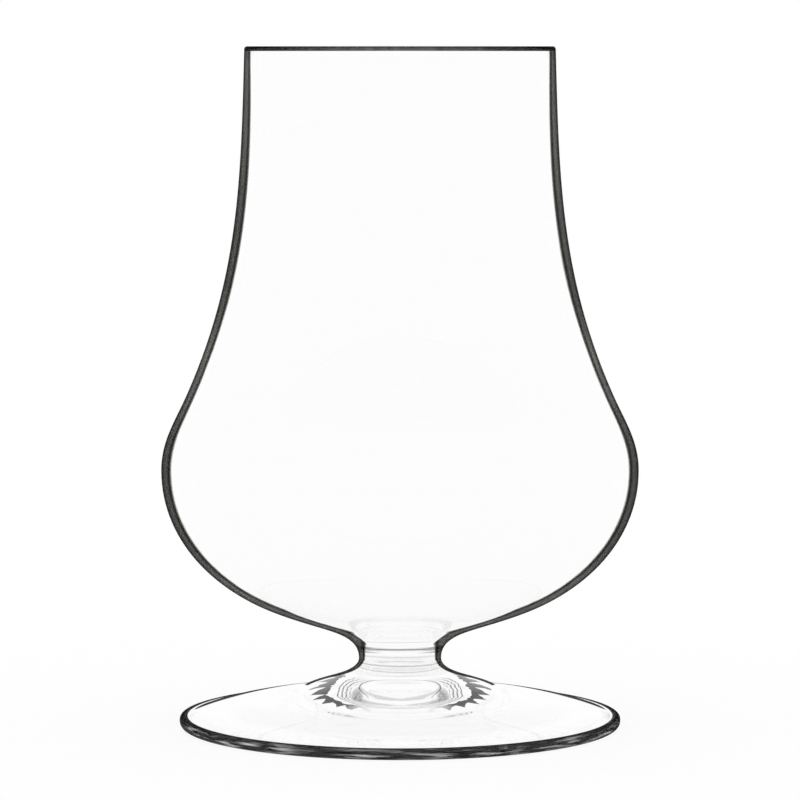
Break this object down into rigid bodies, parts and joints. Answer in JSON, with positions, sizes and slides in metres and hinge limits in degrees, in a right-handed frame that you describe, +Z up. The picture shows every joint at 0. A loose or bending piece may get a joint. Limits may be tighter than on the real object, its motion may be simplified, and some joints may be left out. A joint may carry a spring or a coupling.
{
  "type": "whisky nosing glass",
  "caption": "Clear tulip nosing glass: a round belly that draws in to a straight tall mouth, on a short hollow stem and a wide round foot.",
  "frame": {"origin": "centre of the ring that the foot rests on, on the glass's upright axis", "axes": "+Z up along the axis from the foot to the rim; the glass is round about it, so +X and +Y are any two level directions, and the picture looks along +Y"},
  "size_m": [0.081, 0.081, 0.1155],
  "materials": {
    "bowl_glass": "clear blown glass, fire-polished",
    "stem_glass": "clear drawn glass, fire-polished",
    "foot_glass": "clear pressed glass, fire-polished"
  },
  "bodies": {
    "root": {"bowl": "bowl_glass", "stem": "stem_glass", "foot": "foot_glass"}
  },
  "joints": []
}
